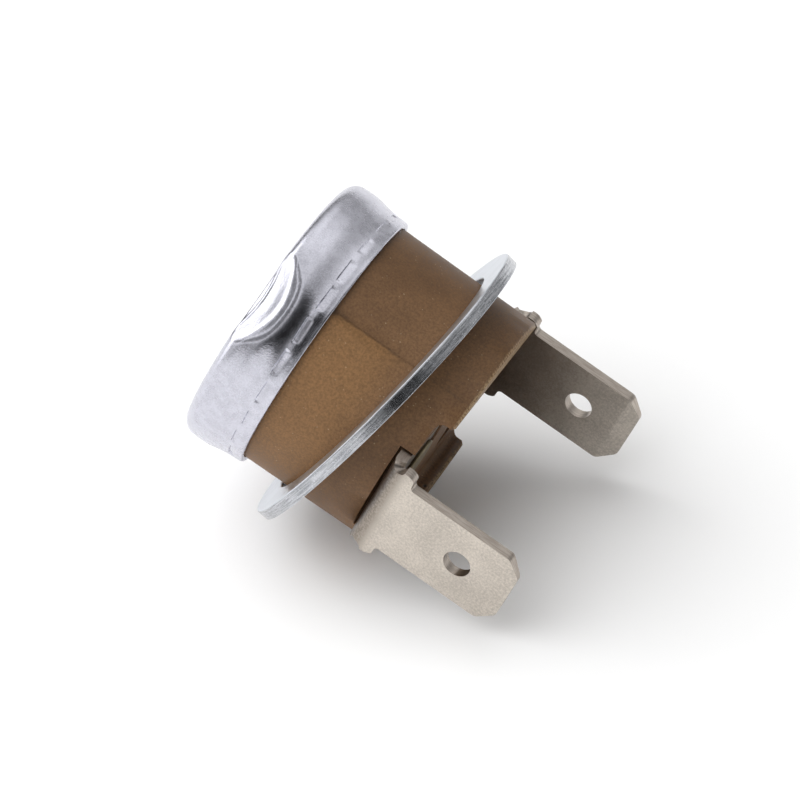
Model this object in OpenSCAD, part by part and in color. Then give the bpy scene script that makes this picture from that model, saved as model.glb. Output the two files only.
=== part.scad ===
// Round bimetal temperature switch with a drawn cap, a moulded body, a loose mounting ring and push-on tabs.
// The sensing face lies on z = 0, and +Z runs along the axis towards the terminals.

/* [Cap] */
// Outside diameter of the cap's wall
cap_d = 20.3; // [19.8:0.1:24]
// Height of the cap from the sensing face to the end of its rolled rim
cap_h = 4.8; // [4.4:0.1:6]
// Thickness of the cap's sheet
cap_wall = 0.35; // [0.25:0.05:0.45]
// Outside radius of the corner between the face and the wall
cap_corner_r = 1.05; // [0.8:0.05:1.8]
// Height of the rim band that is rolled in against the body
rim_band_h = 1.1; // [0.8:0.1:1.3]
// How far the crimp line stands outside the rim's edge
crimp_step = 0.07; // [0.02:0.01:0.2]
// Radius across the floor of the pressed scoop that keys the cap to the body
dent_r = 7; // [3:0.1:9]
// Distance from the axis at which the scoop leaves the face
dent_face_r = 8; // [7.2:0.1:8.4]
// Height at which the scoop leaves the wall
dent_wall_z = 2.3; // [1.6:0.1:3.2]
// Angle of the scoop round the axis
dent_angle = 224.5; // [0:0.5:360]

/* [Moulded body] */
// Diameter of the body where it leaves the cap
body_d = 18.76; // [18:0.02:19]
// Fall in the body's diameter from the cap to the terminal end, for the mould's draft
body_taper = 0.26; // [0:0.02:0.6]
// Length of the body that shows below the cap
body_len = 11.1; // [10:0.1:16]
// Bevel on the outer edge of the terminal end
end_bevel = 0.22; // [0.1:0.02:0.4]
// Width of the channel across the terminal end
channel_w = 13.1; // [11:0.1:14]
// Depth of the channel below the two crescent rims
channel_depth = 1.22; // [0.8:0.02:1.6]
// Radius at the foot of the channel's walls
channel_foot_r = 0.6; // [0.2:0.05:0.7]
// Diameter of the switch chamber inside the body
chamber_d = 14.8; // [14.4:0.1:15.4]
// Thickness of the floor under the terminals
floor_t = 1.4; // [1:0.1:2]
// Thickness of the flange that the cap is rolled over
flange_t = 0.62; // [0.4:0.02:0.8]
// Angle of the mould's parting line round the axis
parting_angle = 212.5; // [190:0.5:235]
// Width of the parting line
parting_w = 0.12; // [0.1:0.02:0.3]
// Depth of the parting line
parting_depth = 0.03; // [0.02:0.01:0.15]

/* [Mounting ring] */
// Play left between the leaning ring's bore and the body
ring_play = 0.1; // [0.06:0.02:0.3]
// Width of the ring between its bore and its rim
ring_land = 2.36; // [1.5:0.02:4]
// Thickness of the ring
ring_t = 0.88; // [0.6:0.02:1.2]
// Distance along the axis from the cap's rim to the middle of the ring
ring_drop = 5.08; // [4:0.02:6]
// Lean of the ring from square
ring_lean = 13.1; // [0:0.1:14]
// Direction round the axis of the ring's side nearest the cap
ring_low_angle = 1; // [0:1:360]
// Broken edge on the ring's rims
ring_edge = 0.09; // [0.04:0.01:0.2]

/* [Terminals] */
// Width of a push-on blade
blade_w = 6.3; // [4.8:0.1:6.5]
// Thickness of the terminal's sheet
blade_t = 0.8; // [0.6:0.05:0.9]
// Distance from the axis to a blade's outer face
blade_y = 10; // [9.8:0.05:11]
// Length of a blade beyond the body's end
blade_reach = 9.1; // [8:0.1:12]
// Width of the shoulders at the foot of a blade
shoulder_w = 8.3; // [7.4:0.1:8.6]
// Length of a shoulder above the bend
shoulder_len = 1.05; // [0.9:0.05:2]
// Radius of a shoulder's corner
shoulder_r = 0.8; // [0.4:0.05:0.9]
// Outside radius of the bend
bend_r = 1.1; // [0.95:0.05:1.4]
// Radius of the relief notch beside the bend
relief_r = 0.3; // [0.15:0.05:0.4]
// Corner chamfer at a blade's tip
tip_chamfer = 1.15; // [0.5:0.05:1.6]
// Length of the tapered lead at a blade's tip
tip_lead = 1.2; // [0.6:0.1:2]
// Depth of the taper on a blade's inner face at the tip
tip_taper = 0.3; // [0.05:0.05:0.35]
// Depth of the taper on a blade's outer face at the tip
tip_ease = 0.08; // [0.02:0.02:0.2]
// Diameter of the detent hole
hole_d = 2; // [1.2:0.05:2.2]
// Distance from the tip to the detent hole
hole_from_tip = 4; // [3:0.1:5]
// Distance from the axis to the inner end of a terminal's foot
foot_end_y = 2.4; // [1.6:0.1:2.6]
// Depth of the slit under a terminal where it leaves the body
slit_h = 0.2; // [0.1:0.05:0.4]
// Length of that slit inwards from the wall
slit_len = 1.6; // [1:0.1:2]
// Clearance round a terminal's foot in its seat
foot_gap = 0.15; // [0.05:0.05:0.3]

/* [Rivets] */
// Distance from the axis to a rivet
rivet_y = 4.7; // [4.6:0.05:4.9]
// Diameter of a rivet's shank
rivet_d = 2.2; // [1.6:0.1:2.4]
// Diameter of a rivet's head on the terminal
rivet_head_d = 4.2; // [3.2:0.1:4.4]
// Thickness of a rivet's heads
rivet_head_t = 0.3; // [0.2:0.05:0.6]

/* [Switch] */
// Diameter of the bimetal disc
disc_d = 15.8; // [14:0.1:16]
// Thickness of the bimetal disc
disc_t = 0.25; // [0.15:0.01:0.3]
// Dish of the cold bimetal disc
disc_dish = 0.75; // [0.6:0.05:0.9]
// Room above the disc's rim for it to snap through
snap_room = 0.6; // [0.5:0.05:0.8]
// Width of the ledge above the disc's rim
ledge_w = 1; // [0.8:0.1:1.4]
// Diameter of the transfer pin
pin_d = 2.2; // [1.6:0.1:2.6]
// Diameter of the pin's rounded upper end
pin_tip_d = 1; // [0.6:0.1:1.4]
// Thickness of the guide plate's web
web_t = 0.9; // [0.6:0.1:1.2]
// How far the guide plate's rim lies below the foot of its web
rim_drop = 0.1; // [0.05:0.05:0.2]
// Thickness of the brackets
bracket_t = 0.5; // [0.4:0.05:0.6]
// Width of the brackets
bracket_w = 4; // [3:0.1:4.4]
// Height of the fixed contact's shelf above the guide plate
shelf_rise = 2.7; // [2:0.1:3.5]
// Distance from the axis to the contacts
contact_y = 4; // [3.6:0.1:4.3]
// Diameter of the contact buttons
contact_d = 2.6; // [1.8:0.1:2.8]
// Thickness of the contact buttons
contact_t = 0.7; // [0.5:0.05:1]
// Gap left between the closed contacts
contact_gap = 0.025; // [0.01:0.005:0.05]
// Diameter of the stems that hold the contacts and the arm
stem_d = 1.3; // [1:0.1:1.5]
// Thickness of the headed-over end of a stem
stem_head_t = 0.25; // [0.15:0.05:0.4]
// Width of the contact arm
arm_w = 3.2; // [2.8:0.1:3.6]
// Thickness of the contact arm
arm_t = 0.25; // [0.15:0.05:0.4]

/* [Fits] */
// Clearance between the cap's wall and what it holds
cap_fit = 0.1; // [0.05:0.01:0.15]
// Clearance round the disc in its well and round the hub in the chamber
well_fit = 0.3; // [0.2:0.05:0.4]
// Clearance between the rolled rim and the body
rim_fit = 0.03; // [0.02:0.01:0.06]
// Clearance round rivets, stems and the pin
pin_fit = 0.04; // [0.02:0.01:0.08]
// Clearance between pieces that move against each other
move_gap = 0.05; // [0.03:0.01:0.1]

/* [Hidden] */
$fn = 96;

// Overshoot of a cut past the surface it opens
cut = 1;

// Radii of the cap, from the axis
cap_r = cap_d / 2;
cap_in_r = cap_r - cap_wall;
rim_r = body_d / 2 + rim_fit + cap_wall;
crimp_r = rim_r + crimp_step;
crimp_z = cap_h - rim_band_h;

// Scoop of the cap: its floor runs from the face to the wall on one slanted line
dent_slope = atan2(dent_wall_z, cap_r - dent_face_r);
dent_len = 4 * cap_r;

// Disc, guide plate and pin, stacked up from the cap's floor
disc_z = cap_wall + move_gap;
disc_sphere_r = (pow(disc_d / 2, 2) + pow(disc_dish, 2)) / (2 * disc_dish);
ledge_z = disc_z + disc_dish + disc_t + 2 * move_gap;
plate_foot_r = cap_r - cap_corner_r - cap_fit;
plate_well_r = disc_d / 2 + well_fit;
plate_r = cap_in_r - cap_fit;
web_z = ledge_z + snap_room;
plate_rim_z = web_z - rim_drop;
plate_top = web_z + web_t;
hub_r = chamber_d / 2 - well_fit;
ledge_r = disc_d / 2 - ledge_w;
pin_z = disc_z + disc_t + move_gap;

// Body, from the flange to the crescent rims
flange_r = cap_in_r - cap_fit;
flange_top = plate_rim_z + flange_t;
body_r = body_d / 2;
body_end_r = (body_d - body_taper) / 2;
body_end_z = cap_h + body_len;
channel_z = body_end_z - channel_depth;
seat_z = channel_z - blade_t - foot_gap;
chamber_top = seat_z - floor_t;
seat_w = shoulder_w + 2 * foot_gap;

// Ring: its bore clears the body in spite of its lean and its thickness
ring_bore_r = ((body_d + ring_play) / 2 + ring_t / 2 * sin(ring_lean)) / cos(ring_lean);
ring_r = ring_bore_r + ring_land;

// Terminals
blade_tip_z = body_end_z + blade_reach;
bend_y = blade_y - bend_r;
bend_z = seat_z + bend_r;
shoulder_z = bend_z + shoulder_len;
foot_top = seat_z + blade_t;

// Switch: the shelf, the contacts, the arm and what carries it
shelf_z = plate_top + shelf_rise;
shelf_top = shelf_z + bracket_t;
gap_z = shelf_top + contact_t;
arm_z = gap_z + contact_gap + contact_t;
arm_top = arm_z + arm_t;
leg_out_y = sqrt(pow(chamber_d / 2, 2) - pow(bracket_w / 2, 2)) - cap_fit;
leg_in_y = leg_out_y - bracket_t;
rivet_low_d = 2 * (leg_in_y - rivet_y - move_gap);
flange_in_y = 2 * rivet_y - leg_in_y;
arm_clamp_y = rivet_y - bracket_t;
stake_y = (arm_clamp_y + leg_in_y) / 2;
stem_head_d = stem_d + 2 * stem_head_t;
arm_tip_y = contact_y + contact_d / 2 + pin_fit;

// A solid of revolution for the cap, with a round corner at the face and a rolled-in rim
module cap_form(inset) {
    wall_r = cap_r - inset;
    corner_r = cap_corner_r - inset;
    rotate_extrude() {
        polygon([[0, inset], [wall_r - corner_r, inset], [wall_r - corner_r, cap_corner_r], [0, cap_corner_r]]);
        polygon([[0, cap_corner_r], [wall_r, cap_corner_r], [wall_r, flange_top], [crimp_r - inset, crimp_z],
                 [rim_r - inset, cap_h], [0, cap_h]]);
        intersection() {
            translate([wall_r - corner_r, cap_corner_r]) circle(r = corner_r);
            translate([wall_r - corner_r, inset]) square(corner_r);
        }
    }
}

// The round-nosed tool that presses the scoop, grown by an allowance
module dent_tool(grow) {
    rotate([0, 0, dent_angle])
        translate([dent_face_r, 0, 0])
            rotate([0, -dent_slope, 0])
                translate([0, 0, -dent_r])
                    rotate([0, 90, 0])
                        cylinder(r = dent_r + grow, h = dent_len, center = true);
}

// A stem with a flat head at each end, along Z
module headed_stem(shank_d, z_low, low_d, low_t, z_high, high_d, high_t) {
    translate([0, 0, z_low - low_t]) cylinder(d = low_d, h = low_t);
    translate([0, 0, z_low]) cylinder(d = shank_d, h = z_high - z_low);
    translate([0, 0, z_high]) cylinder(d = high_d, h = high_t);
}

module sensing_cap() {
    color("#C9CBD2")
        difference() {
            union() {
                difference() {
                    cap_form(0);
                    cap_form(cap_wall);
                    translate([0, 0, cap_h - rim_fit]) cylinder(r = rim_r - cap_wall, h = cut);
                }
                intersection() {
                    cap_form(0);
                    dent_tool(cap_wall);
                }
            }
            dent_tool(0);
        }
}

module bimetal_disc() {
    color("#A8A59C")
        translate([0, 0, disc_z])
            intersection() {
                difference() {
                    translate([0, 0, disc_sphere_r]) sphere(r = disc_sphere_r);
                    translate([0, 0, disc_sphere_r + disc_t]) sphere(r = disc_sphere_r);
                }
                cylinder(d = disc_d, h = disc_dish + disc_t);
            }
}

module guide_plate() {
    color("#7A5B3C")
        difference() {
            rotate_extrude()
                polygon([[0, cap_wall], [plate_foot_r, cap_wall], [plate_r, cap_corner_r], [plate_r, plate_rim_z],
                         [hub_r, plate_rim_z], [hub_r, plate_top], [0, plate_top]]);
            translate([0, 0, cap_wall - cut]) cylinder(r = plate_well_r, h = ledge_z - cap_wall + cut);
            translate([0, 0, cap_wall]) cylinder(r = ledge_r, h = web_z - cap_wall);
            translate([0, 0, web_z - cut]) cylinder(d = pin_d + 2 * pin_fit, h = web_t + 2 * cut);
            dent_tool(cap_wall + cap_fit);
        }
}

module transfer_pin() {
    color("#EDE8DC")
        rotate_extrude()
            polygon([[0, pin_z], [pin_d / 2, pin_z], [pin_d / 2, arm_z - move_gap - (pin_d - pin_tip_d) / 2],
                     [pin_tip_d / 2, arm_z - move_gap], [0, arm_z - move_gap]]);
}

module body_blank() {
    rotate_extrude()
        polygon([[0, plate_rim_z], [flange_r, plate_rim_z], [flange_r, flange_top], [body_r, crimp_z],
                 [body_r, cap_h], [body_end_r, body_end_z - end_bevel], [body_end_r - end_bevel, body_end_z],
                 [0, body_end_z]]);
}

// The channel across the terminal end, with a small radius at the foot of each wall
module channel_cut() {
    translate([0, 0, channel_z])
        rotate([90, 0, 0])
            linear_extrude(height = 2 * body_d, center = true)
                difference() {
                    translate([-channel_w / 2, 0]) square([channel_w, channel_depth + cut]);
                    for (side = [-1, 1])
                        difference() {
                            translate([side * (channel_w - channel_foot_r) / 2, channel_foot_r / 2])
                                square(channel_foot_r, center = true);
                            translate([side * (channel_w / 2 - channel_foot_r), channel_foot_r])
                                circle(r = channel_foot_r);
                        }
                }
}

// The seat of one terminal's foot, open at the wall with a slit below it there, and the hole for its rivet
module terminal_seat() {
    translate([-seat_w / 2, -body_d, seat_z])
        cube([seat_w, body_d - foot_end_y + foot_gap, channel_depth + blade_t + cut]);
    translate([-seat_w / 2, -body_d, seat_z - slit_h])
        cube([seat_w, body_d - body_end_r + slit_len, slit_h + cut]);
    translate([0, -rivet_y, chamber_top - cut]) cylinder(d = rivet_d + 2 * pin_fit, h = floor_t + 2 * cut);
}

module moulded_body() {
    color("#8C6A48")
        difference() {
            body_blank();
            translate([0, 0, plate_rim_z - cut]) cylinder(d = chamber_d, h = chamber_top - plate_rim_z + cut);
            channel_cut();
            for (turn = [0, 180])
                rotate([0, 0, turn]) terminal_seat();
            dent_tool(cap_wall + cap_fit);
            for (turn = [0, 180])
                rotate([0, 0, parting_angle + turn])
                    translate([body_end_r - parting_depth, -parting_w / 2, cap_h])
                        cube([body_d, parting_w, body_len + cut]);
        }
}

module mounting_ring() {
    color("#B4B9C0")
        translate([0, 0, cap_h + ring_drop])
            rotate([0, 0, ring_low_angle])
                rotate([0, ring_lean, 0])
                    translate([0, 0, -ring_t / 2])
                        rotate_extrude()
                            polygon([[ring_bore_r, ring_edge], [ring_bore_r + ring_edge, 0],
                                     [ring_r - ring_edge, 0], [ring_r, ring_edge], [ring_r, ring_t - ring_edge],
                                     [ring_r - ring_edge, ring_t], [ring_bore_r + ring_edge, ring_t],
                                     [ring_bore_r, ring_t - ring_edge]]);
}

// Outline of a blade seen along Y, with shoulders at its foot and cut corners at its tip
module blade_outline() {
    half = blade_w / 2;
    polygon([[-half, bend_z], [half, bend_z], [half, blade_tip_z - tip_chamfer],
             [half - tip_chamfer, blade_tip_z], [tip_chamfer - half, blade_tip_z],
             [-half, blade_tip_z - tip_chamfer]]);
    translate([-shoulder_w / 2, bend_z]) square([shoulder_w, shoulder_len - shoulder_r]);
    translate([shoulder_r - shoulder_w / 2, bend_z]) square([shoulder_w - 2 * shoulder_r, shoulder_len]);
    for (side = [-1, 1])
        translate([side * (shoulder_w / 2 - shoulder_r), shoulder_z - shoulder_r]) circle(r = shoulder_r);
}

// A wedge that tapers the tip of a blade on the face that lies in the plane y = 0, down to a depth
module lead_cut(depth) {
    rotate([90, 0, 90])
        linear_extrude(height = 2 * blade_w, center = true)
            polygon([[0, blade_tip_z - tip_lead], [depth, blade_tip_z], [depth, blade_tip_z + cut],
                     [-cut, blade_tip_z + cut], [-cut, blade_tip_z - tip_lead]]);
}

// One terminal on the -Y side: a riveted foot, a bend and a tapered blade
module terminal() {
    difference() {
        union() {
            translate([-shoulder_w / 2, -bend_y, seat_z]) cube([shoulder_w, bend_y - foot_end_y, blade_t]);
            translate([0, -bend_y, bend_z])
                rotate([0, 90, 0])
                    intersection() {
                        difference() {
                            cylinder(r = bend_r, h = shoulder_w, center = true);
                            cylinder(r = bend_r - blade_t, h = shoulder_w + cut, center = true);
                        }
                        translate([0, -bend_r, -shoulder_w / 2]) cube([bend_r, bend_r, shoulder_w]);
                    }
            translate([0, blade_t - blade_y, 0])
                rotate([90, 0, 0]) linear_extrude(height = blade_t) blade_outline();
        }
        translate([0, -rivet_y, seat_z - cut]) cylinder(d = rivet_d + 2 * pin_fit, h = blade_t + 2 * cut);
        translate([0, -blade_y - cut, blade_tip_z - hole_from_tip])
            rotate([-90, 0, 0]) cylinder(d = hole_d, h = blade_t + 2 * cut);
        for (side = [-1, 1])
            translate([side * shoulder_w / 2, -blade_y - cut, bend_z])
                rotate([-90, 0, 0]) cylinder(r = relief_r, h = bend_r + 2 * cut);
        translate([0, -blade_y, 0]) lead_cut(tip_ease);
        translate([0, blade_t - blade_y, 0]) mirror([0, 1, 0]) lead_cut(tip_taper);
    }
}

module fixed_terminal() {
    color("#CDC6BC") terminal();
}

module arm_terminal() {
    color("#CDC6BC") rotate([0, 0, 180]) terminal();
}

// One rivet on the -Y side, clamping a terminal's foot and a bracket to the floor
module rivet() {
    translate([0, -rivet_y, 0])
        headed_stem(rivet_d, chamber_top - bracket_t, rivet_low_d, rivet_head_t, foot_top, rivet_head_d,
                    rivet_head_t);
}

module fixed_rivet() {
    color("#B99B5B") rivet();
}

module arm_rivet() {
    color("#B99B5B") rotate([0, 0, 180]) rivet();
}

// A folded bracket on the -Y side: a riveted flange, a leg, and a shelf whose lower face is at low_z
module bracket(low_z, shelf_in_y, stem_y) {
    difference() {
        translate([-bracket_w / 2, 0, 0]) {
            translate([0, -leg_out_y, chamber_top - bracket_t])
                cube([bracket_w, leg_out_y - flange_in_y, bracket_t]);
            translate([0, -leg_out_y, low_z]) cube([bracket_w, bracket_t, chamber_top - low_z]);
            translate([0, -leg_out_y, low_z]) cube([bracket_w, leg_out_y - shelf_in_y, bracket_t]);
        }
        translate([0, -rivet_y, chamber_top - bracket_t - cut])
            cylinder(d = rivet_d + 2 * pin_fit, h = bracket_t + 2 * cut);
        translate([0, -stem_y, low_z - cut]) cylinder(d = stem_d + 2 * pin_fit, h = bracket_t + 2 * cut);
    }
}

module fixed_bracket() {
    color("#C2A565") bracket(shelf_z, contact_y - contact_d / 2, contact_y);
}

module fixed_contact() {
    color("#DAD9D4")
        translate([0, -contact_y, 0])
            headed_stem(stem_d, shelf_z, stem_head_d, stem_head_t, shelf_top, contact_d, contact_t);
}

module arm_bracket() {
    color("#C2A565") rotate([0, 0, 180]) bracket(arm_top, arm_clamp_y, stake_y);
}

module arm_stake() {
    color("#B99B5B")
        translate([0, stake_y, 0])
            headed_stem(stem_d, arm_z, stem_head_d, stem_head_t, arm_top + bracket_t, stem_head_d, stem_head_t);
}

module contact_arm() {
    color("#C99A62")
        difference() {
            translate([-arm_w / 2, -arm_tip_y, arm_z]) cube([arm_w, arm_tip_y + leg_out_y, arm_t]);
            for (y = [-contact_y, stake_y])
                translate([0, y, arm_z - cut]) cylinder(d = stem_d + 2 * pin_fit, h = arm_t + 2 * cut);
        }
}

module moving_contact() {
    color("#DAD9D4")
        translate([0, -contact_y, 0])
            headed_stem(stem_d, arm_z, contact_d, contact_t, arm_top, stem_head_d, stem_head_t);
}

sensing_cap();
bimetal_disc();
guide_plate();
transfer_pin();
moulded_body();
mounting_ring();
fixed_terminal();
arm_terminal();
fixed_rivet();
arm_rivet();
fixed_bracket();
fixed_contact();
arm_bracket();
arm_stake();
contact_arm();
moving_contact();
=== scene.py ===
import bmesh
import bpy
import numpy as np
from mathutils import Matrix, Vector


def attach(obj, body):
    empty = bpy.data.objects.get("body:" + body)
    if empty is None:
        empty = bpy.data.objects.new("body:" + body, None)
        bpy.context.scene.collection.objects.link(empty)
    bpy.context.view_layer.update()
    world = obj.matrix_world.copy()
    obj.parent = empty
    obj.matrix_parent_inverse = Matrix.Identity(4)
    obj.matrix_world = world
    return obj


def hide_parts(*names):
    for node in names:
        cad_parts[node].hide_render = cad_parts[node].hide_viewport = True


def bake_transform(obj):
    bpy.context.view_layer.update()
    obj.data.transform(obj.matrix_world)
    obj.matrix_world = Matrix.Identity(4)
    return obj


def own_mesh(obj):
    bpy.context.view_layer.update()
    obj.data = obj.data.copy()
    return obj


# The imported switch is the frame: +Z runs from the sensing face to the terminals, and its sizes are in mm.
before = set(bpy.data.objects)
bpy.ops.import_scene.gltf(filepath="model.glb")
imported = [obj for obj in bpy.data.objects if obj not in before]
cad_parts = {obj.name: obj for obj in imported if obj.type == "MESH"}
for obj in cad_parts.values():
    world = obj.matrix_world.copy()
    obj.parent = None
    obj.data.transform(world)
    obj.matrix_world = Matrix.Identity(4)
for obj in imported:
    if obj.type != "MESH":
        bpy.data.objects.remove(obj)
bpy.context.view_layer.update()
MM = 0.001
rng = np.random.default_rng(7)

# Sizes of the cap, the body, the ring and the terminals, the same as in the part's own source
CAP_R, CAP_H, CAP_WALL, CORNER_R = 10.15, 4.8, 0.35, 1.05
RIM_R, CRIMP_Z = 9.76, 3.7
SCOOP_R, SCOOP_FACE_R, SCOOP_WALL_Z, SCOOP_AZ = 7.0, 8.0, 2.3, 224.5
RING_IN, RING_OUT, RING_T = 9.784, 12.144, 0.88
RING_Z, RING_LEAN, RING_LOW_AZ = 9.88, 13.1, 1.0
SEAT_Z, FOOT_END_Y, BLADE_Y, BLADE_T, BEND_R = 13.73, 2.4, 10.0, 0.8, 1.1
SHOULDER, HALF_BLADE, TIP_Z, TIP_CUT = 4.15, 3.15, 25.0, 1.15
HOLE_R, HOLE_Z, LEAD, TAPER, EASE = 1.0, 21.0, 1.2, 0.3, 0.08
SHOULDER_LEN, RELIEF_R = 1.05, 0.3
RIVET_Y, RIVET_R, RIVET_TOP, RIVET_LOW = 4.7, 2.1, 14.53, 11.83
PARTING_AZ, BODY_R, BODY_TAPER, BODY_LEN = 212.5, 9.38, 0.13, 11.1
BEND_MID, FOOT_FLAT = BEND_R - 0.5 * BLADE_T, BLADE_Y - BEND_R - FOOT_END_Y
BEND_LEN = 0.5 * np.pi * BEND_MID
BEND_END = FOOT_FLAT + BEND_LEN

# Forms that only the dressed part has: the lean of the cap's wall, and the row of crimp marks on its rim
WALL_LEAN, LEAN_Z = 0.25, 1.9
MARK_COUNT, FIRST_MARK_AZ, MARK_Z, MARK_DEPTH = 24, -104.0, 3.73, 0.095

# Columns round the axis of each turned piece, and the height at which a blade's strip meets its web
CAP_COLUMNS, RING_COLUMNS, RIVET_COLUMNS = 640, 480, 96
STRIP_TOP = 17.2


def smooth(a, b, x):
    """Rises from 0 at a to 1 at b along the cubic 3t^2 - 2t^3."""
    t = np.clip((x - a) / (b - a), 0.0, 1.0)
    return t * t * (3.0 - 2.0 * t)


def soft_max(a, b, k):
    """The larger of two heights, with a round of width k where they cross."""
    h = np.clip(0.5 + 0.5 * (b - a) / k, 0.0, 1.0)
    return a * (1.0 - h) + b * h + k * h * (1.0 - h)


def waves(az, z, seed, count, turns, amount):
    """A smooth unevenness: a sum of cosines of the angle and the height with seeded phases."""
    r = np.random.default_rng(seed)
    out = np.zeros(np.broadcast(az, z).shape)
    for _ in range(count):
        out += np.cos(r.integers(2, turns) * az + r.uniform(-2, 2) * z + r.uniform(0, 6.28))
    return amount * out / count


def arc(cx, cz, radius, a0, a1, n):
    """n points of a circle's arc in the half plane of a profile, from angle a0 to a1 in degrees."""
    a = np.radians(np.linspace(a0, a1, n))
    return np.stack([cx + radius * np.cos(a), cz + radius * np.sin(a)], 1)


def run(p, q, n):
    """n points of a straight run from p to q, without its last point."""
    t = np.linspace(0.0, 1.0, n, endpoint=False)[:, None]
    return np.asarray(p) * (1.0 - t) + np.asarray(q) * t


def turned(profile, columns):
    """A profile carried round the axis: grids of angle, radius, height and length along the profile."""
    az = np.linspace(-np.pi, np.pi, columns + 1)
    step = np.hypot(*np.diff(profile, axis=0).T)
    along = np.concatenate([[0.0], np.cumsum(step)])
    shape = (columns + 1, len(profile))
    return (np.broadcast_to(az[:, None], shape), np.broadcast_to(profile[None, :, 0], shape),
            np.broadcast_to(profile[None, :, 1], shape), np.broadcast_to(along[None, :], shape))


def round_points(az, r, z):
    """Points at angle az, radius r and height z."""
    return np.stack([r * np.cos(az), r * np.sin(az), z], -1)


def grid_faces(rows, cols):
    """Corner numbers of the quads of a rows by cols grid of points."""
    n = np.arange(rows * cols).reshape(rows, cols)
    return np.stack([n[:-1, :-1], n[1:, :-1], n[1:, 1:], n[:-1, 1:]], -1).reshape(-1, 4)


def piece(name, patches, material, body, replaced, sharp=35.0, bevel=None):
    """Welds point grids, given in mm with their UV grids, into one closed mesh that rides on a body. A patch
    of sheared edge carries a mark that its finish reads."""
    points, faces, uvs, marks, base = [], [], [], [], 0
    for grid, uv, *cut in patches:
        rows, cols = grid.shape[:2]
        points.append(grid.reshape(-1, 3))
        uvs.append(uv.reshape(-1, 2))
        faces.append(grid_faces(rows, cols) + base)
        marks.append(np.full((rows - 1) * (cols - 1), 1.0 if cut else 0.0, dtype=np.float32))
        base += rows * cols
    points, faces, uvs = np.concatenate(points), np.concatenate(faces), np.concatenate(uvs)
    mesh = bpy.data.meshes.new(name)
    mesh.vertices.add(len(points))
    mesh.vertices.foreach_set("co", (points * MM).ravel())
    mesh.loops.add(faces.size)
    mesh.loops.foreach_set("vertex_index", faces.ravel())
    mesh.polygons.add(len(faces))
    mesh.polygons.foreach_set("loop_start", np.arange(0, faces.size, 4))
    mesh.update(calc_edges=True)
    layer = mesh.uv_layers.new(name="along")
    layer.uv.foreach_set("vector", uvs[faces.ravel()].astype(np.float32).ravel())
    mesh.attributes.new("sheared", "FLOAT", "FACE").data.foreach_set("value", np.concatenate(marks))
    return finish_piece(name, mesh, material, body, replaced, sharp, bevel)


def finish_piece(name, mesh, material, body, replaced, sharp, bevel):
    """Closes a mesh's seams, turns its faces outwards, and sets its finish, its body and what it replaces."""
    bm = bmesh.new()
    bm.from_mesh(mesh)
    bmesh.ops.remove_doubles(bm, verts=bm.verts, dist=2e-7)
    bmesh.ops.dissolve_degenerate(bm, edges=bm.edges, dist=1e-9)
    bmesh.ops.recalc_face_normals(bm, faces=bm.faces)
    bm.to_mesh(mesh)
    bm.free()
    mesh.shade_smooth()
    mesh.set_sharp_from_angle(angle=np.radians(sharp))
    obj = bpy.data.objects.new(name, mesh)
    bpy.context.scene.collection.objects.link(obj)
    mesh.materials.clear()
    mesh.materials.append(material)
    if bevel:
        m = obj.modifiers.new("edges", "BEVEL")
        m.width, m.segments, m.limit_method, m.angle_limit = bevel * MM, 2, "ANGLE", np.radians(38)
        m.harden_normals = True
    if body:
        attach(obj, body)
    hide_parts(*replaced)
    return obj


class Nodes:
    """Short names for building up a tree of shader nodes."""

    def __init__(self, tree):
        self.tree = tree

    def add(self, kind, **values):
        """A node of one kind, with values for its sockets and its settings."""
        node = self.tree.nodes.new(kind)
        for key, value in values.items():
            if key in node.inputs:
                node.inputs[key].default_value = value
            else:
                setattr(node, key, value)
        return node

    def link(self, out, into):
        self.tree.links.new(out, into)

    def band(self, value, low, high, out_low=0.0, out_high=1.0):
        """A value's stretch from low to high, mapped smoothly to another stretch."""
        n = self.add("ShaderNodeMapRange", interpolation_type="SMOOTHSTEP")
        for key, v in (("From Min", low), ("From Max", high), ("To Min", out_low), ("To Max", out_high)):
            n.inputs[key].default_value = v
        self.link(value, n.inputs["Value"])
        return n.outputs["Result"]

    def calc(self, operation, a, b=0.0):
        """One sum of two values, each a socket or a number."""
        n = self.add("ShaderNodeMath", operation=operation)
        for i, v in enumerate((a, b)):
            if isinstance(v, (int, float)):
                n.inputs[i].default_value = v
            else:
                self.link(v, n.inputs[i])
        return n.outputs["Value"]


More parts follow.
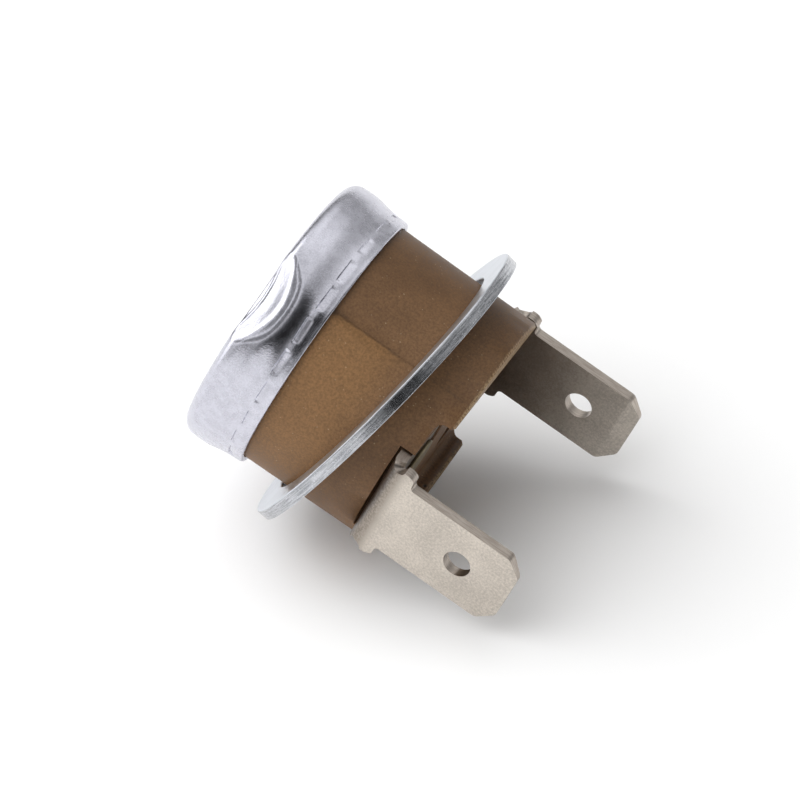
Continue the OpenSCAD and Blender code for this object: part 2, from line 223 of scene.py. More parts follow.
class Finish(Nodes):
    """A procedural material, built up on Object coordinates or the piece's UV."""

    def __init__(self, name):
        self.mat = bpy.data.materials.new(name)
        self.mat.use_nodes = True
        super().__init__(self.mat.node_tree)
        self.shader = self.tree.nodes["Principled BSDF"]
        self.coords = self.add("ShaderNodeTexCoord")

    def place(self, source="Object", scale=(1, 1, 1), turn=(0, 0, 0), shift=(0, 0, 0)):
        """The coordinates in mm, turned and stretched."""
        m = self.add("ShaderNodeMapping")
        m.inputs["Scale"].default_value = scale
        m.inputs["Rotation"].default_value = turn
        m.inputs["Location"].default_value = shift
        self.link(self.coords.outputs[source], m.inputs["Vector"])
        return m.outputs["Vector"]

    def noise(self, where, per_mm, detail=3.0, rough=0.55, distortion=0.0):
        """Noise with a given number of lumps to the mm of the object."""
        n = self.add("ShaderNodeTexNoise", Detail=detail, Roughness=rough, Distortion=distortion)
        n.inputs["Scale"].default_value = per_mm * 1000.0
        self.link(where, n.inputs["Vector"])
        return n.outputs["Fac"]

    def spots(self, where, per_mm, randomness=1.0):
        """Distance to the nearest of scattered points."""
        n = self.add("ShaderNodeTexVoronoi", Randomness=randomness)
        n.inputs["Scale"].default_value = per_mm * 1000.0
        self.link(where, n.inputs["Vector"])
        return n.outputs["Distance"]

    def blend(self, share, a, b, kind="MIX"):
        """Mixes two colours, each a socket or a list."""
        n = self.add("ShaderNodeMix", data_type="RGBA", blend_type=kind)
        for key, v in ((0, share), (6, a), (7, b)):
            if isinstance(v, (int, float)):
                n.inputs[key].default_value = v
            elif isinstance(v, (tuple, list)):
                n.inputs[key].default_value = (*v, 1.0)
            else:
                self.link(v, n.inputs[key])
        return n.outputs[2]

    def beyond(self, direction):
        """How far a point lies along a direction from the origin, in mm."""
        n = self.add("ShaderNodeVectorMath", operation="DOT_PRODUCT")
        n.inputs[1].default_value = np.asarray(direction) / MM
        self.link(self.coords.outputs["Object"], n.inputs[0])
        return n.outputs["Value"]

    def height(self):
        """Height above the sensing face in mm."""
        return self.beyond((0.0, 0.0, 1.0))

    def sheared(self):
        """The mark of a sheared edge: 1 on it and 0 elsewhere."""
        return self.add("ShaderNodeAttribute", attribute_name="sheared").outputs["Fac"]

    def from_point(self, point):
        """Distance from a point given in mm."""
        n = self.add("ShaderNodeVectorMath", operation="DISTANCE")
        n.inputs[1].default_value = np.asarray(point) * MM
        self.link(self.coords.outputs["Object"], n.inputs[0])
        return self.calc("MULTIPLY", n.outputs["Value"], 1.0 / MM)

    def bump(self, height, depth_mm, strength=1.0, after=None):
        """Relief of a depth in mm from a height of 0 to 1."""
        n = self.add("ShaderNodeBump", Strength=strength, Distance=depth_mm * MM)
        self.link(height, n.inputs["Height"])
        if after is not None:
            self.link(after, n.inputs["Normal"])
        return n.outputs["Normal"]

    def done(self, colour=None, rough=None, normal=None, **constants):
        """Sets the shader's constants and links what varies."""
        for key, v in constants.items():
            self.shader.inputs[key.replace("_", " ")].default_value = v
        for key, v in (("Base Color", colour), ("Roughness", rough), ("Normal", normal)):
            if v is not None:
                self.link(v, self.shader.inputs[key])
        return self.mat


def drawn_aluminium():
    """Satin drawn sheet: a sparkling grain, soft lumps over half a millimetre across and faint drawing
    streaks. The pressing tool left the scoop smoother than the rest."""
    dull, bright = (0.52, 0.52, 0.58), (0.66, 0.66, 0.735)
    f = Finish("drawn_aluminium")
    here = f.place()
    patches = f.noise(here, 0.3, 3.0)
    lumps = f.noise(here, 1.5, 3.0, 0.6)
    grain = f.noise(here, 9.0, 3.0, 0.7)
    streaks = f.noise(f.place("UV", (5.0, 0.4, 1.0)), 0.001, 3.0)
    tone = f.calc("ADD", f.calc("MULTIPLY", lumps, 0.45), f.calc("MULTIPLY", grain, 0.55))
    colour = f.blend(f.band(tone, 0.34, 0.66), dull, bright)
    rough = f.calc("ADD", f.band(lumps, 0.3, 0.7, 0.22, 0.28), f.band(patches, 0.35, 0.65, 0.0, 0.05))
    turn = np.radians(SCOOP_AZ)
    scoop = f.from_point((0.9 * CAP_R * np.cos(turn), 0.9 * CAP_R * np.sin(turn), 1.6))
    rough = f.calc("SUBTRACT", rough, f.band(scoop, 4.6, 2.6, 0.0, 0.13))
    normal = f.bump(f.calc("ADD", grain, f.calc("MULTIPLY", streaks, 0.5)), 0.009, 0.7)
    normal = f.bump(lumps, 0.006, 0.6, normal)
    return f.done(colour, rough, normal, Metallic=1.0)


def zinc_plate():
    """Bright zinc on a blanked ring: an even grain on the flats, and along the rim fine lines and pale
    specks."""
    grey, pale, speck = (0.56, 0.59, 0.64), (0.66, 0.69, 0.74), (0.72, 0.74, 0.78)
    line_dark, line_pale = (0.30, 0.31, 0.33), (0.56, 0.57, 0.60)
    f = Finish("zinc_plate")
    here = f.place()
    cloud = f.noise(here, 0.5, 3.0)
    grain = f.noise(here, 8.0, 4.0, 0.6)
    sheared = f.sheared()
    lines = f.noise(f.place("UV", (0.5, 8.0, 1.0)), 0.001, 4.0, 0.65)
    flat = f.blend(f.band(cloud, 0.35, 0.65), grey, pale)
    drawn = f.blend(f.band(lines, 0.36, 0.64), line_dark, line_pale)
    drawn = f.blend(f.band(grain, 0.52, 0.70, 0.0, 0.7), drawn, speck)
    colour = f.blend(sheared, flat, drawn)
    rough = f.calc("SUBTRACT", f.band(cloud, 0.3, 0.7, 0.28, 0.36), f.calc("MULTIPLY", sheared, 0.08))
    normal = f.bump(grain, 0.008, 0.7)
    normal = f.bump(f.calc("MULTIPLY", lines, sheared), 0.02, 0.7, normal)
    return f.done(colour, rough, normal, Metallic=1.0)


def plated_brass():
    """Satin plating on rolled brass strip: a sandy grain on the faces, browner cut edges with fine lines,
    painted shade in brown on the faces that look inwards, deeper towards the root, and painted shade on foot
    and bend."""
    dull, bright = (0.43, 0.39, 0.345), (0.66, 0.60, 0.53)
    inward_shade_brown, bend_shade_brown = (0.13, 0.090, 0.062), (0.15, 0.12, 0.095)
    edge_dull, edge_bright = (0.36, 0.31, 0.27), (0.48, 0.43, 0.38)
    f = Finish("plated_brass")
    here = f.place()
    cloud = f.noise(here, 0.4, 3.0)
    grain = f.noise(here, 6.0, 4.0, 0.75)
    rolled = f.noise(f.place(scale=(6.0, 6.0, 0.4)), 1.0, 3.0)
    tone = f.calc("ADD", f.calc("MULTIPLY", grain, 0.7), f.calc("MULTIPLY", cloud, 0.3))
    plate = f.blend(f.band(tone, 0.34, 0.66), dull, bright)
    height = f.height()
    # Painted shade: the faces that look inwards turn brown towards the root, standing in for the shaded body
    # and table they mirror.
    inside = f.band(f.calc("ABSOLUTE", f.beyond((0.0, 1.0, 0.0))), 9.5, 9.3)
    inward_shade = f.calc("MULTIPLY", inside, f.band(height, 24.2, 16.0, 0.0, 0.75))
    plate = f.blend(inward_shade, plate, inward_shade_brown)
    # Painted shade: the plating goes brown on the bend and foot next to the body's slot, where the gap's
    # shadow and the dark body's reflection fall.
    uneven = f.band(grain, 0.36, 0.6, 0.45, 1.0)
    skin = f.calc("MULTIPLY", f.band(height, 15.4, 14.3, 0.0, 0.85), uneven)
    plate = f.blend(skin, plate, bend_shade_brown)
    cut = f.sheared()
    lines = f.noise(f.place("UV", (0.8, 7.0, 1.0)), 0.001, 4.0, 0.6)
    edge = f.blend(f.band(lines, 0.35, 0.65), edge_dull, edge_bright)
    colour = f.blend(cut, plate, edge)
    rough = f.calc("ADD", f.band(cloud, 0.3, 0.7, 0.26, 0.34), f.calc("MULTIPLY", grain, 0.06))
    normal = f.bump(f.calc("ADD", grain, f.calc("MULTIPLY", rolled, 0.3)), 0.012, 0.8)
    return f.done(colour, rough, normal, Metallic=1.0)


def phenolic():
    """Brown filled moulding: mottled colour, fine pale filler specks, a few small pits and a dull skin. One
    side of the parting line, on the cap's side of the ring, is lighter and warmer as painted light on its lit
    half, the line is smudged there, and the open end is rubbed pale."""
    brown_low, brown_high, lit_side_brown = (0.137, 0.071, 0.031), (0.170, 0.090, 0.040), (0.26, 0.135, 0.05)
    seam_brown, filler, rubbed = (0.105, 0.062, 0.034), (0.44, 0.32, 0.19), (0.42, 0.29, 0.16)
    dirt = (0.045, 0.028, 0.016)
    f = Finish("phenolic")
    here = f.place()
    height = f.height()
    mottle = f.noise(here, 0.22, 4.0, 0.6)
    grain = f.noise(here, 6.0, 4.0, 0.7)
    specks = f.band(f.spots(here, 3.2), 0.2, 0.08)
    rare = f.band(f.noise(here, 1.1, 2.0), 0.52, 0.64)
    pits = f.band(f.spots(f.place(shift=(0.3, 0.7, 0.1)), 0.3), 0.05, 0.025)
    line = np.radians(PARTING_AZ)
    past = f.beyond((-np.sin(line), np.cos(line), 0.0))
    beside = f.calc("ABSOLUTE", past)
    # Painted light: the half on one side of the parting line is lighter and warmer up to the ring, standing
    # in for its lit side.
    painted_light_side = f.calc("MULTIPLY", f.band(past, -0.05, 0.15), f.band(past, 18.0, 2.0))
    painted_light_side = f.calc("MULTIPLY", painted_light_side, f.band(height, 11.5, 8.5))
    base = f.blend(f.band(mottle, 0.35, 0.65), brown_low, brown_high)
    base = f.blend(f.calc("MULTIPLY", painted_light_side, 0.6), base, lit_side_brown)
    broken = f.band(f.noise(here, 0.7, 2.0), 0.4, 0.6, 0.05, 0.5)
    base = f.blend(f.calc("MULTIPLY", f.band(beside, 0.18, 0.02), broken), base, seam_brown)
    base = f.blend(1.0, base, f.band(grain, 0.32, 0.68, 0.78, 1.24), "MULTIPLY")
    base = f.blend(f.calc("MULTIPLY", f.calc("MULTIPLY", specks, rare), 0.6), base, filler)
    worn = f.calc("MULTIPLY", f.band(height, 15.66, 15.84), f.band(grain, 0.42, 0.56, 0.15, 0.9))
    base = f.blend(worn, base, rubbed)
    smudge = f.calc("MULTIPLY", f.band(beside, 0.5, 0.05), f.band(height, 6.8, 5.2))
    smudge = f.calc("MULTIPLY", smudge, f.band(f.noise(here, 1.4, 2.0), 0.35, 0.65, 0.3, 0.75))
    dark = f.calc("MAXIMUM", f.calc("MULTIPLY", pits, 0.8), smudge)
    colour = f.blend(dark, base, dirt)
    rough = f.band(grain, 0.3, 0.7, 0.46, 0.62)
    normal = f.bump(grain, 0.016, 0.6)
    normal = f.bump(mottle, 0.05, 0.35, normal)
    normal = f.bump(f.calc("SUBTRACT", 1.0, pits), 0.05, 0.9, normal)
    return f.done(colour, rough, normal, Specular_IOR_Level=0.3)


def plain_metal(name, low, high, rough_low, rough_high, per_mm=2.0):
    """A turned or stamped inner piece: two close tones in fine cloud and a fine grain."""
    f = Finish(name)
    here = f.place()
    cloud = f.noise(here, per_mm * 0.3, 3.0)
    grain = f.noise(here, per_mm * 4.0, 4.0, 0.6)
    colour = f.blend(f.band(cloud, 0.35, 0.65), low, high)
    rough = f.band(grain, 0.3, 0.7, rough_low, rough_high)
    return f.done(colour, rough, f.bump(grain, 0.005, 0.6), Metallic=1.0)


def white_ceramic():
    """Unglazed fired ceramic: off-white with faint cloud and a sandy skin."""
    f = Finish("white_ceramic")
    here = f.place()
    cloud = f.noise(here, 0.8, 3.0)
    grain = f.noise(here, 9.0, 3.0)
    colour = f.blend(f.band(cloud, 0.35, 0.65), (0.74, 0.69, 0.60), (0.84, 0.80, 0.72))
    return f.done(colour, f.band(grain, 0.3, 0.7, 0.55, 0.7), f.bump(grain, 0.006, 0.6))


aluminium, zinc, plating, brown = drawn_aluminium(), zinc_plate(), plated_brass(), phenolic()
# Painted shade: the rivets' brass is darkened far below the plain brass to stand in for the shade of the
# recess they sit in.
shaded_rivet_brass = plain_metal("shaded_rivet_brass", (0.16, 0.13, 0.08), (0.24, 0.20, 0.13), 0.42, 0.58)
brass = plain_metal("plain_brass", (0.52, 0.38, 0.16), (0.64, 0.50, 0.25), 0.28, 0.42)
bronze = plain_metal("spring_bronze", (0.52, 0.33, 0.15), (0.62, 0.42, 0.21), 0.26, 0.38)
silver = plain_metal("contact_silver", (0.70, 0.69, 0.66), (0.82, 0.81, 0.78), 0.24, 0.36)
bimetal = plain_metal("bimetal_strip", (0.52, 0.51, 0.48), (0.66, 0.65, 0.61), 0.28, 0.40)
ceramic = white_ceramic()


def crimp_marks(az, z):
    """How far the closing tool pressed the rim in: a row of short segments, each a crisp step down at its own
    height and slant that runs out before the rim's edge, with plain gaps between them."""
    pressed = np.zeros(np.broadcast(az, z).shape)
    for k in range(MARK_COUNT):
        centre = np.radians(FIRST_MARK_AZ + 360.0 / MARK_COUNT * k + rng.uniform(-0.9, 0.9))
        half = np.radians(5.5 + rng.uniform(-0.7, 0.5))
        off = np.angle(np.exp(1j * (az - centre)))
        height = MARK_Z + rng.uniform(-0.09, 0.09) + rng.uniform(-0.5, 0.5) * off
        depth = MARK_DEPTH + rng.uniform(-0.03, 0.025)
        across = 1.0 - smooth(half - np.radians(1.1), half + np.radians(0.2), np.abs(off))
        fade = 1.0 - smooth(height + 0.06, height + 0.62, z)
        pressed += depth * across * smooth(height - 0.03, height + 0.03, z) * fade
    return pressed


def scoop_floor(points, shown):
    """Lifts points of the cap's skin to the floor of the scoop: a round trough along a slanted line from the
    face to the wall, deepest near the face and with a low bead along it. The skin is the larger of the two
    heights above that line, with a tight round at the face and at the trough's ends and a wide one at the
    wall."""
    tight, widest = 0.1, 1.05
    slope = np.arctan2(SCOOP_WALL_Z, CAP_R - SCOOP_FACE_R)
    turn = np.radians(SCOOP_AZ)
    out = np.array([np.cos(turn), np.sin(turn), 0.0])
    side = np.array([-np.sin(turn), np.cos(turn), 0.0])
    up = -np.sin(slope) * out + np.cos(slope) * np.array([0.0, 0.0, 1.0])
    forth = np.cos(slope) * out + np.sin(slope) * np.array([0.0, 0.0, 1.0])
    height = (points - SCOOP_FACE_R * out) @ up - np.where(shown, 0.0, CAP_WALL)
    along = (points - SCOOP_FACE_R * out) @ forth
    across = np.clip(np.abs(points @ side), 0.0, 0.9 * SCOOP_R)
    floor = np.sqrt(SCOOP_R ** 2 - across ** 2) - SCOOP_R
    deep = 0.1 - 0.06 * np.clip(along - 0.6, -1.0, 4.0) ** 2
    bead = 0.04 * np.exp(-((along - 0.42) / 0.12) ** 2) * smooth(3.2, 2.4, across)
    wide = widest * smooth(0.2, 1.6, along) * smooth(5.2, 1.0, across)
    width = tight + np.where(shown, wide, 0.0)
    pressed = soft_max(height, floor + np.where(shown, deep - bead, 0.0), width)
    raised = np.where(points @ out > 0.0, pressed, height)
    return points + (raised - height)[..., None] * up


def cap_piece():
    """The drawn cap: a profile turned round the axis, whose wall leans in to the crimp line, pressed by the
    crimp marks, uneven by a few hundredths, and lifted to the floor of the scoop."""
    def leaned(z):
        return CAP_R - WALL_LEAN * smooth(LEAN_Z, CRIMP_Z, z)

    wall_z = np.linspace(CORNER_R, 3.55, 40)[1:]
    wall = np.stack([leaned(wall_z), wall_z], 1)
    band_z = np.linspace(3.58, 4.0, 22)
    band = np.stack([leaned(band_z) - 0.02 * smooth(CRIMP_Z, CAP_H, band_z), band_z], 1)
    rim_z = np.linspace(4.05, 4.70, 10)
    rim = np.stack([CAP_R - WALL_LEAN - 0.08 * smooth(3.9, CAP_H, rim_z), rim_z], 1)
    face = np.concatenate([run((0.0, 0.0), (5.8, 0.0), 5), run((5.8, 0.0), (CAP_R - CORNER_R, 0.0), 26)])
    outer = np.concatenate([face, arc(CAP_R - CORNER_R, CORNER_R, CORNER_R, -90, 0, 22), wall, band, rim])
    edge = arc(RIM_R - 0.05, CAP_H - 0.10, 0.10, 20, 90, 5)
    inner = np.concatenate([arc(RIM_R - CAP_WALL + 0.06, CAP_H - 0.06, 0.06, 90, 180, 4),
                            [(RIM_R - CAP_WALL + 0.06, CRIMP_Z), (CAP_R - CAP_WALL, 2.62)],
                            arc(CAP_R - CORNER_R, CORNER_R, CORNER_R - CAP_WALL, 0, -90, 7),
                            run((CAP_R - CORNER_R, CAP_WALL), (6.6, CAP_WALL), 12)[1:],
                            [(6.6, CAP_WALL), (0.0, CAP_WALL)]])
    count = len(outer)
    az, r, z, along = turned(np.concatenate([outer, edge, inner]), CAP_COLUMNS)
    shown = np.broadcast_to(np.arange(r.shape[1])[None, :] < count, r.shape)
    r = r - np.where(shown & (z > 3.4), crimp_marks(az, z), 0.0)
    r = r + np.where(shown, waves(az, z, seed=3, count=7, turns=12, amount=0.02) * smooth(1.0, 2.0, z), 0.0)
    worn = 0.012 + waves(az, z, seed=4, count=9, turns=40, amount=0.012)
    r = r - np.where(shown, worn, 0.0) * smooth(4.0, 4.6, z)
    points = scoop_floor(round_points(az, r, z), shown)
    uv = np.stack([az * CAP_R, along], -1)
    return piece("drawn_cap", [(points, uv)], aluminium, "housing", ["sensing_cap"])


def ring_piece():
    """The mounting ring: a profile with a rolled edge on one side and a torn rim, turned and then leaned."""
    roll, burr = 0.14, 0.05
    profile = np.concatenate([
        run((RING_IN + roll, 0.0), (RING_OUT - roll, 0.0), 14),
        arc(RING_OUT - roll, roll, roll, -90, 0, 6),
        run((RING_OUT, roll + 0.02), (RING_OUT - 0.03, RING_T - burr), 10),
        arc(RING_OUT - 0.03 - burr, RING_T - burr, burr, 0, 90, 4),
        run((RING_OUT - 0.12 - burr, RING_T), (RING_IN + burr, RING_T), 14),
        arc(RING_IN + burr, RING_T - burr, burr, 90, 180, 4),
        run((RING_IN, RING_T - burr - 0.02), (RING_IN, roll), 5),
        arc(RING_IN + roll, roll, roll, 180, 270, 6)])
    az, r, z, along = turned(profile, RING_COLUMNS)
    edge = smooth(RING_OUT - 0.06, RING_OUT - 0.015, r)
    r = r - edge * (0.012 + waves(az, z, seed=5, count=9, turns=150, amount=0.012))
    flat = round_points(az, r, z - 0.5 * RING_T)
    lean, low = np.radians(RING_LEAN), np.radians(RING_LOW_AZ)
    tilt = np.array([[np.cos(lean), 0, np.sin(lean)], [0, 1, 0], [-np.sin(lean), 0, np.cos(lean)]])
    spin = np.array([[np.cos(low), -np.sin(low), 0], [np.sin(low), np.cos(low), 0], [0, 0, 1]])
    points = flat @ (spin @ tilt).T + np.array([0.0, 0.0, RING_Z])
    uv = np.stack([az * RING_OUT, along], -1)
    cuts = np.flatnonzero(profile[:, 0] > RING_OUT - 0.04)
    first, last = cuts[0], cuts[-1]
    before, rim, after = slice(None, first + 1), slice(first, last + 1), slice(last, None)
    parts = [(points[:, before], uv[:, before]), (points[:, rim], uv[:, rim], True),
             (points[:, after], uv[:, after])]
    return piece("loose_ring", parts, zinc, "ring", ["mounting_ring"])


def half_width(s):
    """Half the terminal's width at a length along its strip: wide at the foot, pinched by a relief notch
    beside the bend, out to the shoulder, round its corner and in by a small fillet to the blade."""
    corner, fillet, overlap, top = 0.75, 0.3, 0.12, SHOULDER_LEN
    notch_r, notch_at = 1.3 * RELIEF_R, -0.35
    u = s - BEND_END
    w = np.full_like(s, SHOULDER)
    a = np.clip(u - (top - corner), 0.0, corner)
    w = np.where(u > top - corner, SHOULDER - corner + np.sqrt(np.clip(corner ** 2 - a ** 2, 0, None)), w)
    left = fillet - np.clip(u - top + overlap, 0, fillet)
    foot = HALF_BLADE + fillet - np.sqrt(np.clip(fillet ** 2 - left ** 2, 0, None))
    w = np.where(u > top - overlap, np.minimum(w, foot), w)
    w = np.where(u >= top, foot, w)
    return w - np.sqrt(np.clip(notch_r ** 2 - (u - notch_at) ** 2, 0.0, None))


def strip_point(s, x, depth):
    """A point of the terminal's sheet at length s along its middle, x across it and depth outwards from the
    middle: a flat foot, then a quarter turn of the bend, then straight up the blade."""
    a = np.clip((s - FOOT_FLAT) / BEND_MID, 0.0, 0.5 * np.pi)
    rise = np.clip(s - FOOT_FLAT - BEND_LEN, 0.0, None)
    y = FOOT_END_Y + np.clip(s, 0.0, FOOT_FLAT) + (BEND_MID + depth) * np.sin(a)
    z = SEAT_Z + BEND_R - (BEND_MID + depth) * np.cos(a) + rise
    return np.stack([x, -y, z], -1)


def blade_ring(across):
    """Points round the free part of the blade, from the strip's last row along both edges, the cut corners
    and the tip."""
    w, c = HALF_BLADE, 0.28
    side = np.stack([np.full(30, w), np.linspace(STRIP_TOP, TIP_Z - TIP_CUT - c, 30)], 1)
    d = np.sqrt(0.5) * c
    low, high = np.array([w, TIP_Z - TIP_CUT]), np.array([w - TIP_CUT, TIP_Z])
    t = np.linspace(0.0, 1.0, 9)[1:, None]
    corner_low = (1 - t) ** 2 * (low - [0, c]) + 2 * t * (1 - t) * low + t ** 2 * (low + [-d, d])
    corner_high = (1 - t) ** 2 * (high + [d, -d]) + 2 * t * (1 - t) * high + t ** 2 * (high - [c, 0])
    cut = run(low + [-d, d], high + [d, -d], 8)[1:]
    right = np.concatenate([side, corner_low, cut, (high + [d, -d])[None], corner_high])
    tip = np.stack([np.linspace(w - TIP_CUT - c, -(w - TIP_CUT - c), 18)[1:-1], np.full(16, TIP_Z)], 1)
    left = right[::-1] * [-1.0, 1.0]
    bottom = np.stack([across[1:-1], np.full(len(across) - 2, STRIP_TOP)], 1)
    return np.concatenate([right, tip, left, bottom, right[:1]])


def terminal_piece(name, node, turn):
    """A push-on terminal: a strip for foot, bend and shoulders, and for the blade a web of rings that runs
    from its outline to the detent hole, each as two faces a sheet apart, closed along the outline, the foot's
    end and the hole."""
    rise = STRIP_TOP - SEAT_Z - BEND_R
    rows = [np.linspace(0, FOOT_FLAT, 12), np.linspace(FOOT_FLAT, BEND_END - 0.8, 6),
            np.linspace(BEND_END - 0.8, BEND_END + 0.35, 44),
            np.linspace(BEND_END + 0.35, BEND_END + 1.4, 40),
            np.linspace(BEND_END + 1.4, BEND_END + rise, 5)]
    s = np.unique(np.concatenate(rows))
    share = np.sin(np.linspace(-0.5, 0.5, 33) * np.pi * 0.8) / np.sin(0.4 * np.pi)
    ss, tt = np.meshgrid(s, share, indexing="ij")
    xx = tt * half_width(ss)
    half = 0.5 * BLADE_T
    outer, inner = strip_point(ss, xx, half), strip_point(ss, xx, -half)
    uv = np.stack([xx, ss], -1)
    outline = blade_ring(share * HALF_BLADE)
    angle = np.unwrap(np.arctan2(outline[:, 1] - HOLE_Z, outline[:, 0]))
    hole = np.stack([HOLE_R * np.cos(angle), HOLE_Z + HOLE_R * np.sin(angle)], 1)
    k = np.linspace(0.0, 1.0, 26)[:, None, None] ** 0.9
    web = outline[None] * (1 - k) + hole[None] * k
    lead = np.clip((web[..., 1] - (TIP_Z - LEAD)) / LEAD, 0.0, 1.0)
    front = np.stack([web[..., 0], -(BLADE_Y - EASE * lead), web[..., 1]], -1)
    back = np.stack([web[..., 0], -(BLADE_Y - BLADE_T + TAPER * lead), web[..., 1]], -1)
    web_uv = np.stack([web[..., 0], web[..., 1] - TIP_Z + BEND_END + rise], -1)

    def wall(a, b):
        """A sheared edge that closes the two faces between two rows of points."""
        t = np.linspace(0.0, 1.0, 4)[:, None, None]
        grid = a[None] * (1 - t) + b[None] * t
        along = np.concatenate([[0.0], np.cumsum(np.linalg.norm(np.diff(a, axis=0), axis=1))])
        return grid, np.stack(np.broadcast_arrays(along, t[..., 0]), -1), True

    keep = slice(0, len(outline) - len(share) + 1)
    patches = [(outer, uv), (inner, uv), (front, web_uv), (back, web_uv), wall(outer[0], inner[0]),
               wall(outer[:, 0], inner[:, 0]), wall(outer[:, -1], inner[:, -1]),
               wall(front[0, keep], back[0, keep]), wall(front[-1], back[-1])]
    if turn:
        patches = [(p * [-1.0, -1.0, 1.0], *rest) for p, *rest in patches]
    return piece(name, patches, plating, "housing", [node], sharp=30.0, bevel=0.045)


def rivet_piece(name, node, turn):
    """A rivet: a turned profile with a low domed head, a shank and a smaller upset end."""
    top, low = RIVET_TOP, RIVET_LOW
    profile = np.concatenate([
        run((0.0, top + 0.29), (RIVET_R - 0.5, top + 0.27), 8),
        arc(RIVET_R - 0.14, top + 0.13, 0.13, 80, -20, 8),
        [(RIVET_R - 0.04, top), (1.1, top), (1.1, low)],
        [(1.72, low), (1.77, low - 0.05), (1.72, low - 0.26), (1.2, low - 0.3), (0.0, low - 0.3)]])
    az, r, z, along = turned(profile, RIVET_COLUMNS)
    points = round_points(az, r, z) + np.array([0.0, RIVET_Y if turn else -RIVET_Y, 0.0])
    uv = np.stack([az * RIVET_R, along], -1)
    return piece(name, [(points, uv)], shaded_rivet_brass, "housing", [node])


def arm_piece():
    """The contact arm: a merged copy of its solid, which bends from its clamp to where it carries the
    contact."""
    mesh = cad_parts["contact_arm"].data.copy()
    arm = finish_piece("leaf_arm", mesh, bronze, None, ["contact_arm"], 30.0, None)
    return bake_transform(arm)


def disc_piece():
    """The snap disc: a merged copy of its solid, which flattens towards its rim as it pushes the pin."""
    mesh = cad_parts["bimetal_disc"].data.copy()
    disc = finish_piece("snap_disc", mesh, bimetal, "housing", ["bimetal_disc"], 30.0, None)
    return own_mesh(disc)


def body_piece():
    """The moulded body: a merged copy of its solid with finely broken edges, its parting line left to the
    finish."""
    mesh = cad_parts["moulded_body"].data.copy()
    co = np.empty(len(mesh.vertices) * 3)
    mesh.vertices.foreach_get("co", co)
    co = co.reshape(-1, 3)
    az, r = np.arctan2(co[:, 1], co[:, 0]), np.hypot(co[:, 0], co[:, 1]) / MM
    wall = BODY_R - BODY_TAPER * (co[:, 2] / MM - CAP_H) / BODY_LEN
    off = np.abs(np.angle(np.exp(2j * (az - np.radians(PARTING_AZ))))) / 2 * r
    groove = (off < 0.09) & (np.abs(r - wall) < 0.2) & (co[:, 2] > (CAP_H - 0.1) * MM)
    co[groove, :2] *= (wall[groove] / r[groove])[:, None]
    mesh.vertices.foreach_set("co", co.ravel())
    return finish_piece("brown_body", mesh, brown, "housing", ["moulded_body"], 30.0, 0.05)


cap_piece()
ring_piece()
body_piece()
terminal_piece("near_blade", "fixed_terminal", False)
terminal_piece("far_blade", "arm_terminal", True)
rivet_piece("near_rivet", "fixed_rivet", False)
rivet_piece("far_rivet", "arm_rivet", True)
arm_piece()
disc_piece()
for node, material in (("guide_plate", brown), ("transfer_pin", ceramic), ("fixed_bracket", brass),
                       ("arm_bracket", brass), ("arm_stake", brass), ("fixed_contact", silver),
                       ("moving_contact", silver)):
    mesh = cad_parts[node].data
    mesh.materials.clear()
    mesh.materials.append(material)

# The camera's place in mm and its axes, and the lens that fills the picture as the photograph does
CAMERA_AT, LENS = Vector((-311.3, -316.32, 40.41)), 295.75
CAMERA_RIGHT, CAMERA_FORWARD = Vector((-0.37064, 0.44076, 0.81753)), Vector((0.70029, 0.71082, -0.06575))

# The table is a slanted plane of the frame, just under the lowest edge of the body's open end
TABLE_SLANT, TABLE_DEPTH = np.radians(28.3), 15.72
UP = Vector((-np.cos(TABLE_SLANT), 0.0, -np.sin(TABLE_SLANT)))
FRONT = (CAMERA_FORWARD.dot(UP) * UP - CAMERA_FORWARD).normalized()
RIGHT = UP.cross(FRONT).normalized()
CENTRE = Vector((0.17, -0.17, 11.17)) * MM
TABLE = CENTRE - UP * (UP.dot(CENTRE) + TABLE_DEPTH * MM)


def table_top():
    """A white plane 3 m wide under the switch that keeps its shadow and is seen only from above."""
    half_size, tone, glow_strength = 1.5, 0.92, 0.04
    points = [TABLE + a * RIGHT + b * FRONT for a in (-half_size, half_size) for b in (-half_size, half_size)]
    mesh = bpy.data.meshes.new("table_top")
    mesh.from_pydata(points, [], grid_faces(2, 2).tolist())
    mesh.update()
    if mesh.polygons[0].normal.dot(UP) < 0:
        mesh.flip_normals()
    obj = bpy.data.objects.new("table_top", mesh)
    bpy.context.scene.collection.objects.link(obj)
    f = Finish("white_table")
    mesh.materials.append(f.done(Base_Color=(tone, tone, tone, 1.0), Roughness=0.9, Specular_IOR_Level=0.0))
    ray = f.add("ShaderNodeLightPath").outputs
    shown = f.calc("MAXIMUM", ray["Is Camera Ray"], ray["Is Glossy Ray"])
    shown = f.calc("MAXIMUM", shown, ray["Is Transmission Ray"])
    glow = f.add("ShaderNodeEmission")
    f.link(f.calc("MULTIPLY", shown, glow_strength), glow.inputs["Strength"])
    both = f.add("ShaderNodeAddShader")
    f.link(f.shader.outputs[0], both.inputs[0])
    f.link(glow.outputs[0], both.inputs[1])
    pick = f.add("ShaderNodeMixShader")
    f.link(f.add("ShaderNodeNewGeometry").outputs["Backfacing"], pick.inputs[0])
    f.link(both.outputs[0], pick.inputs[1])
    f.link(f.add("ShaderNodeBsdfTransparent").outputs[0], pick.inputs[2])
    f.link(pick.outputs[0], f.tree.nodes["Material Output"].inputs["Surface"])


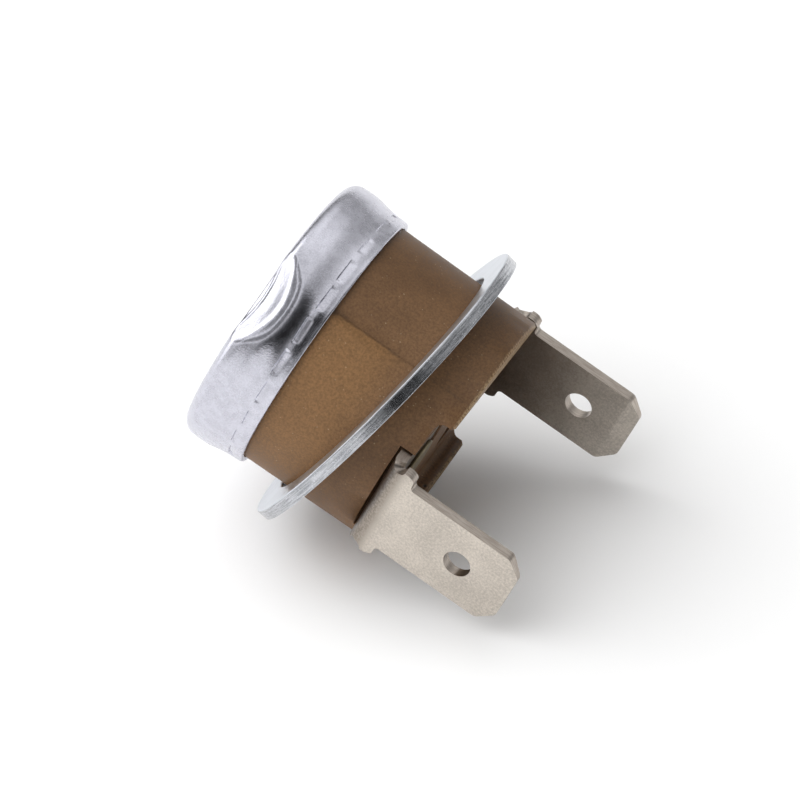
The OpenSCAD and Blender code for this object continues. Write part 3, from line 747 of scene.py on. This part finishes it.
def studio():
    """The room: white as it is seen, a dome that lights from overhead and a little from the left, and for
    metal to mirror a white backdrop along the horizon and greys overhead, left and behind, with dark gaps in
    front and high."""
    world = bpy.data.worlds.new("studio")
    bpy.context.scene.world = world
    world.use_nodes = True
    room = Nodes(world.node_tree)
    where = room.add("ShaderNodeTexCoord").outputs["Generated"]
    ray = room.add("ShaderNodeLightPath").outputs
    glossy = ray["Is Glossy Ray"]

    def toward(right, front, up, low, high, out_low, out_high):
        """A strength that changes as a direction, given along the table's axes, comes nearer."""
        dot = room.add("ShaderNodeVectorMath", operation="DOT_PRODUCT")
        dot.inputs[1].default_value = (right * RIGHT + front * FRONT + up * UP).normalized()
        room.link(where, dot.inputs[0])
        return room.band(dot.outputs["Value"], low, high, out_low, out_high)

    def times(*values):
        """The product of several values."""
        product = values[0]
        for v in values[1:]:
            product = room.calc("MULTIPLY", product, v)
        return product

    dome = toward(-0.25, -0.05, 0.95, 0.5, 0.95, 0.05, 1.58)
    left = toward(-0.9, 0.35, 0.25, 0.3, 0.95, 0.0, 1.6)
    top = toward(-0.25, 0.0, 0.95, 0.2, 0.8, 0.04, 0.85)
    back = toward(0.6, -0.6, 0.55, 0.5, 0.95, 0.0, 0.42)
    front_gap = toward(0.2, 0.9, 0.36, 0.84, 0.95, 1.0, 0.08)
    high_gap = toward(-0.74, 0.02, 0.67, 0.95, 0.98, 1.0, 0.02)
    low_gap = toward(-0.38, 0.51, 0.69, 0.95, 0.98, 1.0, 0.02)
    mirrored = times(room.calc("ADD", top, back), front_gap, high_gap, low_gap, glossy)
    lit = times(dome, room.calc("SUBTRACT", 1.0, glossy))
    from_left = times(left, room.calc("SUBTRACT", 1.0, times(glossy, 0.8)))
    light = room.calc("ADD", room.calc("ADD", mirrored, lit), from_left)
    backdrop = times(toward(0.0, 0.0, 1.0, 0.03, 0.1, 1.0, 0.0), glossy)
    seen = room.calc("MAXIMUM", ray["Is Camera Ray"], ray["Is Transmission Ray"])
    strength = room.calc("MAXIMUM", light, room.calc("MAXIMUM", seen, backdrop))
    sky = room.tree.nodes["Background"]
    sky.inputs["Color"].default_value = (1.0, 1.0, 1.0, 1.0)
    room.link(strength, sky.inputs["Strength"])


def strip_lamp(name, toward, distance, lie, long, short, watts):
    """A soft rectangular lamp in a direction given along the table's right, front and up, its length along
    another. Its distance and its sides are in metres."""
    data = bpy.data.lights.new(name, "AREA")
    data.shape, data.size, data.size_y, data.energy = "RECTANGLE", long, short, watts
    obj = bpy.data.objects.new(name, data)
    bpy.context.scene.collection.objects.link(obj)
    table = Matrix((RIGHT, FRONT, UP)).transposed()
    away = (table @ Vector(toward)).normalized()
    x = table @ Vector(lie)
    x = (x - x.dot(away) * away).normalized()
    axes = Matrix((x, away.cross(x), away)).transposed()
    obj.matrix_world = Matrix.Translation(CENTRE + away * distance) @ axes.to_4x4()


def camera():
    """The photograph's view: a long lens, rolled as the picture was taken."""
    data = bpy.data.cameras.new("camera")
    data.sensor_width, data.lens = 36.0, LENS
    data.clip_start, data.clip_end = 0.01, 10.0
    obj = bpy.data.objects.new("camera", data)
    bpy.context.scene.collection.objects.link(obj)
    up = CAMERA_RIGHT.cross(CAMERA_FORWARD)
    axes = Matrix((CAMERA_RIGHT, up, -CAMERA_FORWARD)).transposed()
    obj.matrix_world = Matrix.Translation(CAMERA_AT * MM) @ axes.to_4x4()
    bpy.context.scene.camera = obj


table_top()
studio()
strip_lamp("window", toward=(-0.76, -0.44, 0.47), distance=0.7, lie=(-0.634, 0.465, -0.617),
           long=0.8, short=0.30, watts=1.1)
camera()
bpy.context.scene.view_settings.view_transform = "Standard"
